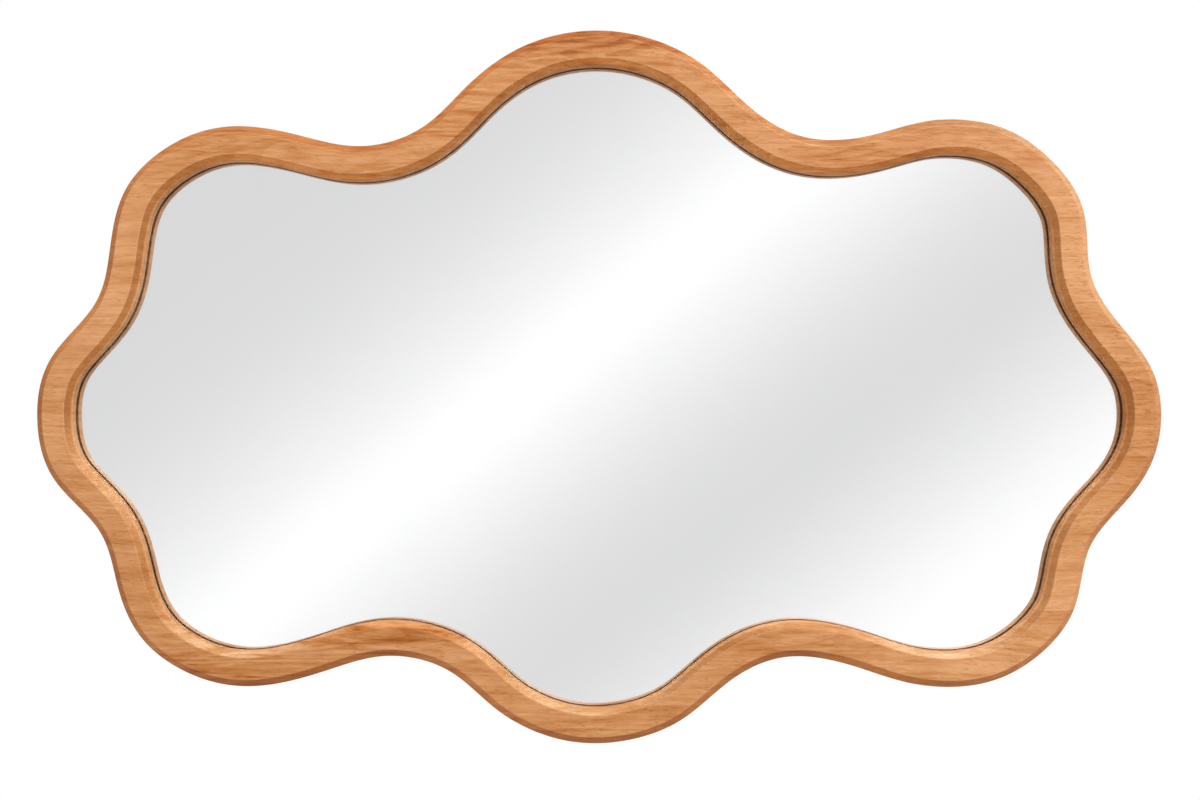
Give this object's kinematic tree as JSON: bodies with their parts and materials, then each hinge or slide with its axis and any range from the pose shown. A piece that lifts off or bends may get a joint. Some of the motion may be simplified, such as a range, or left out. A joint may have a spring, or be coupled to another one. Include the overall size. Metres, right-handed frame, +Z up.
{
  "type": "irregular shaped mirror",
  "caption": "Wide wall mirror with a cloud-shaped wooden frame of rounded lobes, a chamfered outer edge, a bevelled lip round recessed glass, and D-ring hangers behind.",
  "frame": {"origin": "point on the wall plane (the bumpers' flat ends) midway between the pivots of the two D-rings", "axes": "+X to the viewer's right along the mirror's long side, +Z up, +Y out of the back towards the wall; the glass looks along -Y"},
  "size_m": [0.9643, 0.034, 0.6115],
  "materials": {
    "frame_wood": "satin oiled, horizontal grain",
    "mirror": "silvered 4 mm float glass",
    "film": "bonded safety film",
    "fibreboard": "smooth fibreboard",
    "foam": "double-sided foam strip",
    "tenon_wood": "planed",
    "rubber": "matt",
    "screw_steel": "yellow zinc plated",
    "hanger_steel": "zinc plated",
    "ring_steel": "zinc plated wire",
    "button_steel": "zinc plated sheet"
  },
  "bodies": {
    "frame": {"frame_top_board": "frame_wood", "frame_bottom_board": "frame_wood", "frame_left_board_1": "frame_wood", "frame_left_board_2": "frame_wood", "frame_left_board_3": "frame_wood", "frame_left_board_4": "frame_wood", "frame_left_board_5": "frame_wood", "frame_right_board_1": "frame_wood", "frame_right_board_2": "frame_wood", "frame_right_board_3": "frame_wood", "frame_right_board_4": "frame_wood", "frame_right_board_5": "frame_wood", "mirror_glass": "mirror", "safety_film": "film", "backing_board": "fibreboard", "foam_pads": "foam", "loose_tenons": "tenon_wood", "glass_edge_spacers": "rubber", "turn_button_screws": "screw_steel", "hanger_screws": "screw_steel", "wall_bumpers": "rubber", "hanger_strap_left": "hanger_steel", "hanger_strap_right": "hanger_steel"},
    "turn_button_1": {"turn_button_1": "button_steel"},
    "turn_button_2": {"turn_button_2": "button_steel"},
    "turn_button_3": {"turn_button_3": "button_steel"},
    "turn_button_4": {"turn_button_4": "button_steel"},
    "turn_button_5": {"turn_button_5": "button_steel"},
    "turn_button_6": {"turn_button_6": "button_steel"},
    "turn_button_7": {"turn_button_7": "button_steel"},
    "turn_button_8": {"turn_button_8": "button_steel"},
    "hanger_ring_left": {"hanger_ring_left": "ring_steel"},
    "hanger_ring_right": {"hanger_ring_right": "ring_steel"}
  },
  "joints": [
    {"name": "button_1_swivel", "type": "hinge", "parent": "frame", "child": "turn_button_1", "pos_m": [-0.00108, -0.0051, 0.14653], "axis": [0, 1, 0], "range_deg": [-90, 90]},
    {"name": "button_2_swivel", "type": "hinge", "parent": "frame", "child": "turn_button_2", "pos_m": [0.30111, -0.0051, 0.07044], "axis": [0, 1, 0], "range_deg": [-90, 90]},
    {"name": "button_3_swivel", "type": "hinge", "parent": "frame", "child": "turn_button_3", "pos_m": [0.4691, -0.0051, -0.16998], "axis": [0, 1, 0], "range_deg": [-90, 90]},
    {"name": "button_4_swivel", "type": "hinge", "parent": "frame", "child": "turn_button_4", "pos_m": [0.29812, -0.0051, -0.39035], "axis": [0, 1, 0], "range_deg": [-90, 90]},
    {"name": "button_5_swivel", "type": "hinge", "parent": "frame", "child": "turn_button_5", "pos_m": [-0.00214, -0.0051, -0.43864], "axis": [0, 1, 0], "range_deg": [-90, 90]},
    {"name": "button_6_swivel", "type": "hinge", "parent": "frame", "child": "turn_button_6", "pos_m": [-0.30281, -0.0051, -0.38967], "axis": [0, 1, 0], "range_deg": [-90, 90]},
    {"name": "button_7_swivel", "type": "hinge", "parent": "frame", "child": "turn_button_7", "pos_m": [-0.46877, -0.0051, -0.16995], "axis": [0, 1, 0], "range_deg": [-90, 90]},
    {"name": "button_8_swivel", "type": "hinge", "parent": "frame", "child": "turn_button_8", "pos_m": [-0.30811, -0.0051, 0.06454], "axis": [0, 1, 0], "range_deg": [-90, 90]},
    {"name": "ring_left_swing", "type": "hinge", "parent": "frame", "child": "hanger_ring_left", "pos_m": [-0.4065, -0.00342, 0], "axis": [1, 0, 0], "range_deg": [0, 172]},
    {"name": "ring_right_swing", "type": "hinge", "parent": "frame", "child": "hanger_ring_right", "pos_m": [0.4065, -0.00342, 0], "axis": [1, 0, 0], "range_deg": [0, 172]}
  ]
}
